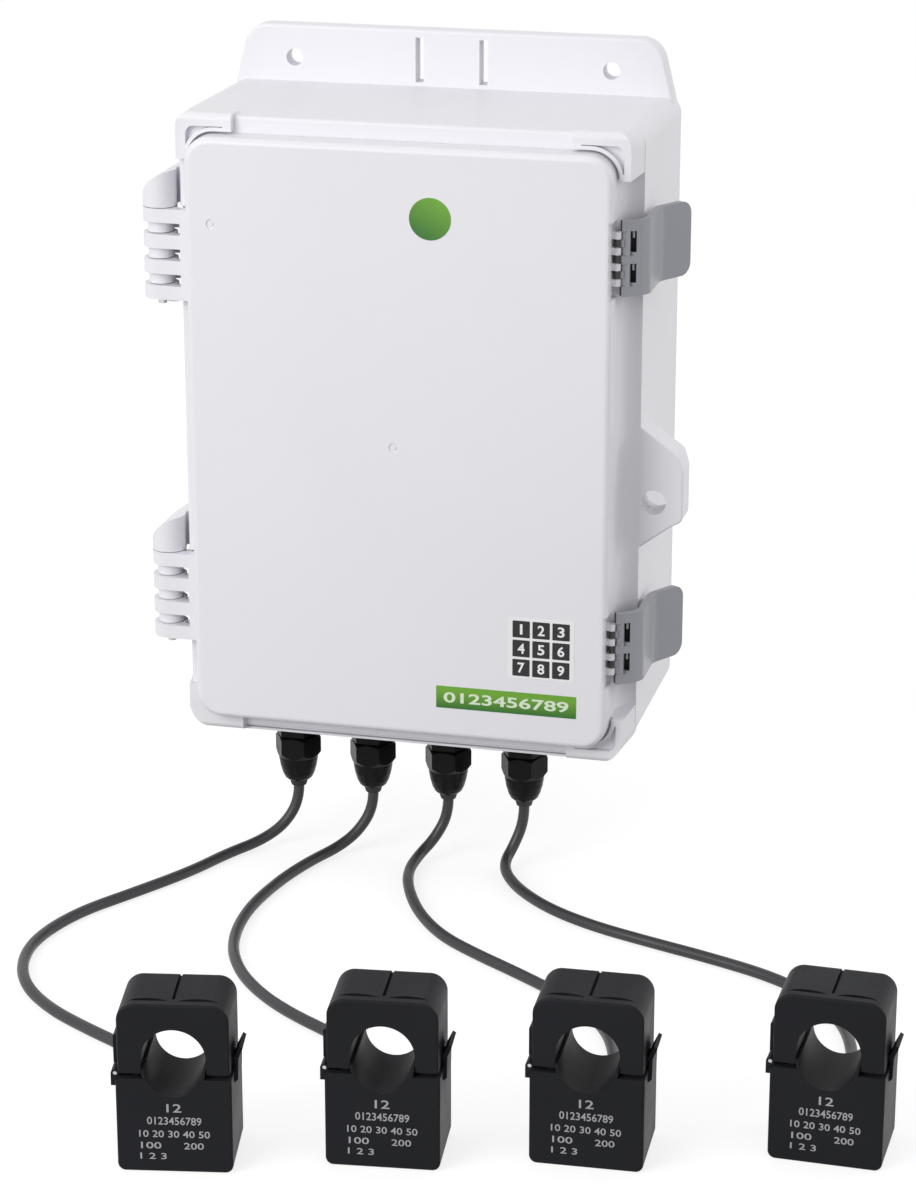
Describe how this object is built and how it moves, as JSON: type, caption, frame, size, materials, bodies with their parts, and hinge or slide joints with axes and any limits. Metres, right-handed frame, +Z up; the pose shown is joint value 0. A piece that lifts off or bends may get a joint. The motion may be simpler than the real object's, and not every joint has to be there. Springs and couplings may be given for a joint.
{
  "type": "power failure alarm",
  "caption": "Wall-mounted alarm enclosure with a hinged, latched cover, cable glands below it, and cables that end in split-core current transformers.",
  "frame": {"origin": "centre of the case on the wall plane, level with the middle of the cover", "axes": "+X to the right as seen from the front, +Y into the wall, +Z up"},
  "size_m": [0.3115, 0.3141, 0.2963],
  "materials": {
    "case_plastic": "light grey, fine grained, slightly glossy",
    "cover_plastic": "light grey, smooth, slightly glossy",
    "latch_plastic": "mid grey, satin",
    "seal_rubber": "black, matt",
    "pin_steel": "drawn wire",
    "screw_steel": "zinc plated",
    "gland_nylon": "black, satin",
    "cable_jacket": "dark grey, satin",
    "plate_steel": "zinc plated sheet",
    "circuit_board": "green solder mask, satin",
    "terminal_plastic": "green, slightly glossy",
    "holder_plastic": "black, satin",
    "cell_wrap": "plain grey shrink sleeve",
    "component_plastic": "black moulded packages",
    "shield_tin": "tinned",
    "wire_jacket": "red and smooth",
    "lamp_lens": "green tinted, clear",
    "button_plastic": "red, glossy",
    "ct_plastic": "black, satin",
    "core_iron": "ground faces, laminated",
    "winding_tape": "yellow tape over the winding"
  },
  "bodies": {
    "case": {"back_case": "case_plastic", "cover_hinge_pins": "pin_steel", "gland_bodies": "gland_nylon", "gland_washers": "seal_rubber", "gland_locknuts": "gland_nylon", "gland_nuts": "gland_nylon", "gland_seals": "seal_rubber", "inner_leads": "cable_jacket", "mounting_plate": "plate_steel", "plate_screws": "screw_steel", "board_standoffs": "screw_steel", "main_board": "circuit_board", "board_screws": "screw_steel", "terminal_block": "terminal_plastic", "terminal_screws": "screw_steel", "battery_holder": "holder_plastic", "battery_cells": "cell_wrap", "battery_plug": "component_plastic", "battery_lead": "wire_jacket", "antenna": "component_plastic", "buzzer": "component_plastic", "storage_capacitors": "component_plastic", "processor": "component_plastic", "radio_module": "shield_tin", "status_leds": "lamp_lens", "button_housing": "component_plastic", "ct_cores": "core_iron", "ct_coils": "winding_tape", "ct_hinge_pins": "pin_steel", "ct_cable_boots": "ct_plastic", "ct_base_1": "ct_plastic", "cord_1": "cable_jacket", "ct_base_2": "ct_plastic", "cord_2": "cable_jacket", "ct_base_3": "ct_plastic", "cord_3": "cable_jacket", "ct_base_4": "ct_plastic", "cord_4": "cable_jacket"},
    "cover": {"front_cover": "cover_plastic", "lid_gasket": "seal_rubber", "latch_pins": "pin_steel"},
    "upper_latch": {"latch_upper": "latch_plastic"},
    "lower_latch": {"latch_lower": "latch_plastic"},
    "test_push": {"test_button": "button_plastic"},
    "ct_1_lid": {"ct_cap_1": "ct_plastic", "ct_cap_core_1": "core_iron"},
    "ct_2_lid": {"ct_cap_2": "ct_plastic", "ct_cap_core_2": "core_iron"},
    "ct_3_lid": {"ct_cap_3": "ct_plastic", "ct_cap_core_3": "core_iron"},
    "ct_4_lid": {"ct_cap_4": "ct_plastic", "ct_cap_core_4": "core_iron"}
  },
  "joints": [
    {"name": "cover_hinge", "type": "hinge", "parent": "case", "child": "cover", "pos_m": [-0.086, -0.079, 0], "axis": [0, 0, -1], "range_deg": [0, 135]},
    {"name": "upper_latch_hinge", "type": "hinge", "parent": "cover", "child": "upper_latch", "pos_m": [0.0762, -0.083, 0.0695], "axis": [0, 0, -1], "range_deg": [0, 100]},
    {"name": "lower_latch_hinge", "type": "hinge", "parent": "cover", "child": "lower_latch", "pos_m": [0.0762, -0.083, -0.0695], "axis": [0, 0, -1], "range_deg": [0, 100]},
    {"name": "test_button_push", "type": "slide", "parent": "case", "child": "test_push", "axis": [0, 1, 0], "range_m": [0, 0.0008], "stiffness_N_per_m": 300},
    {"name": "ct_1_hinge", "type": "hinge", "parent": "case", "child": "ct_1_lid", "pos_m": [-0.0281, -0.31426, -0.13435], "axis": [0.1822, -0.9833, 0], "range_deg": [0, 75]},
    {"name": "ct_2_hinge", "type": "hinge", "parent": "case", "child": "ct_2_lid", "pos_m": [0.03191, -0.29553, -0.13435], "axis": [0.1132, -0.9936, 0], "range_deg": [0, 75]},
    {"name": "ct_3_hinge", "type": "hinge", "parent": "case", "child": "ct_3_lid", "pos_m": [0.09162, -0.27948, -0.13435], "axis": [0.0436, -0.999, 0], "range_deg": [0, 75]},
    {"name": "ct_4_hinge", "type": "hinge", "parent": "case", "child": "ct_4_lid", "pos_m": [0.16161, -0.25893, -0.13435], "axis": [-0.0262, -0.9997, 0], "range_deg": [0, 75]}
  ]
}
